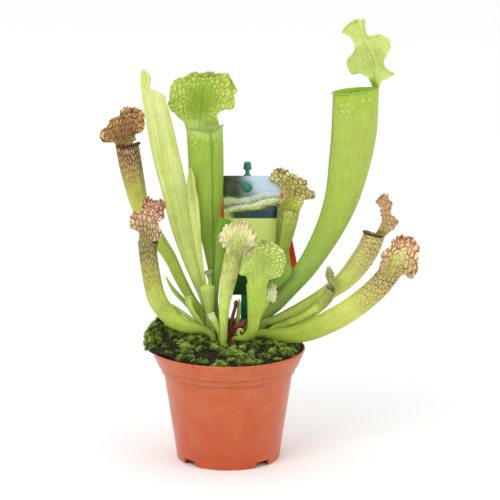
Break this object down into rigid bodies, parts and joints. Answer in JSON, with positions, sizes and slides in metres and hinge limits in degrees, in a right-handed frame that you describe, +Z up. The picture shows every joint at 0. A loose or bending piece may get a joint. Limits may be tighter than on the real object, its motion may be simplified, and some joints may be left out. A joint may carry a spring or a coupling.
{
  "type": "potted trumpet pitcher plant",
  "caption": "Trumpet pitcher plant with upright tubular leaves and frilled hoods, in a round nursery pot with moss and a staked plant label.",
  "frame": {"origin": "on the surface that the pot stands on, under the middle of the plant's whole width and depth; the pot's axis stands 24.5 mm towards -X", "axes": "+Z up along the pot's axis, -Y towards the side that the label faces, +X to the right seen from there"},
  "size_m": [0.2448, 0.12, 0.3456],
  "materials": {
    "pot": "satin",
    "substrate": "matte",
    "rhizome": "matte",
    "moss": "matte",
    "label_card": "satin",
    "label_stake": "satin",
    "pitcher_tall_right": "satin",
    "pitcher_tall_green": "satin",
    "pitcher_unopened": "satin",
    "leaf_pale_narrow": "satin",
    "pitcher_left_red": "satin",
    "pitcher_front_left": "satin",
    "pitcher_right_dark_lip": "satin",
    "pitcher_right_red_net": "satin",
    "pitcher_dying": "matte",
    "pitcher_front_cream": "satin",
    "pitcher_front_green": "satin",
    "pitcher_back_olive": "satin",
    "pitcher_young_green": "satin",
    "pitcher_frilled_small": "satin",
    "pitcher_round_hood": "satin",
    "bud_green": "satin",
    "pitcher_tiny_left": "satin",
    "leaf_narrow_left": "satin",
    "leaf_short_left": "satin",
    "pitcher_cut_short": "satin",
    "leaf_dried_tip": "matte",
    "shoot_red": "satin",
    "shoot_green": "satin",
    "bud_dark_red": "satin",
    "shoot_pale_hooked": "satin"
  },
  "bodies": {
    "root": {"pot": "pot", "substrate": "substrate", "rhizome": "rhizome", "moss": "moss", "label_card": "label_card", "label_stake": "label_stake", "pitcher_tall_right": "pitcher_tall_right", "pitcher_tall_green": "pitcher_tall_green", "pitcher_unopened": "pitcher_unopened", "leaf_pale_narrow": "leaf_pale_narrow", "pitcher_left_red": "pitcher_left_red", "pitcher_front_left": "pitcher_front_left", "pitcher_right_dark_lip": "pitcher_right_dark_lip", "pitcher_right_red_net": "pitcher_right_red_net", "pitcher_dying": "pitcher_dying", "pitcher_front_cream": "pitcher_front_cream", "pitcher_front_green": "pitcher_front_green", "pitcher_back_olive": "pitcher_back_olive", "pitcher_young_green": "pitcher_young_green", "pitcher_frilled_small": "pitcher_frilled_small", "pitcher_round_hood": "pitcher_round_hood", "bud_green": "bud_green", "pitcher_tiny_left": "pitcher_tiny_left", "leaf_narrow_left": "leaf_narrow_left", "leaf_short_left": "leaf_short_left", "pitcher_cut_short": "pitcher_cut_short", "leaf_dried_tip": "leaf_dried_tip", "shoot_red": "shoot_red", "shoot_green": "shoot_green", "bud_dark_red": "bud_dark_red", "shoot_pale_hooked": "shoot_pale_hooked"}
  },
  "joints": []
}
